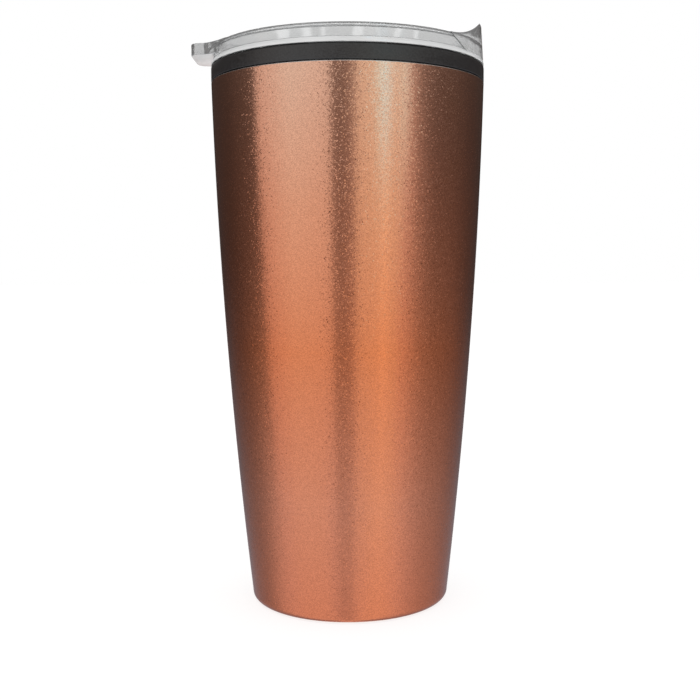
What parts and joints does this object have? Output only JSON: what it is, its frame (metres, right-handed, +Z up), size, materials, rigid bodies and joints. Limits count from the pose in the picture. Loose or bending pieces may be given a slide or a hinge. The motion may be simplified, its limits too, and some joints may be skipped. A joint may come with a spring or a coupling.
{
  "type": "insulated tumbler",
  "caption": "Tapered double-wall travel tumbler: coated steel shell, black plastic liner with a flush collar, and a clear press-in lid with sip spout, pry tab and slider.",
  "frame": {"origin": "centre of the foot ring, on the surface that the tumbler stands on", "axes": "+Z up along the tumbler's axis, +X towards the sip spout, -X towards the pry tab"},
  "size_m": [0.0937, 0.088, 0.1856],
  "materials": {
    "metallic_coat": "metallic copper powder coat, satin, with a fine grain",
    "bare_steel": "satin, uncoated",
    "foam": "closed-cell foam",
    "black_plastic": "satin moulded polypropylene",
    "white_silicone": "matte",
    "clear_plastic": "clear, polished",
    "clear_silicone": "translucent"
  },
  "bodies": {
    "cup": {"outer_shell": "metallic_coat", "base_disc": "bare_steel", "liner_cushion": "foam", "inner_liner": "black_plastic", "rim_seal": "white_silicone"},
    "gasket": {"lid_gasket": "clear_silicone"},
    "lid": {"lid_body": "clear_plastic"},
    "slider": {"slider_cap": "clear_plastic", "slider_gate": "clear_plastic", "slider_seal": "white_silicone"}
  },
  "joints": [
    {"name": "lid_lift", "type": "slide", "parent": "cup", "child": "gasket", "axis": [0, 0, 1], "range_m": [0, 0.06]},
    {"name": "lid_turn", "type": "hinge", "parent": "gasket", "child": "lid", "pos_m": [0, 0, 0.165], "axis": [0, 0, 1], "continuous": true},
    {"name": "slider_slide", "type": "slide", "parent": "lid", "child": "slider", "axis": [1, 0, 0], "range_m": [0, 0.009]}
  ]
}
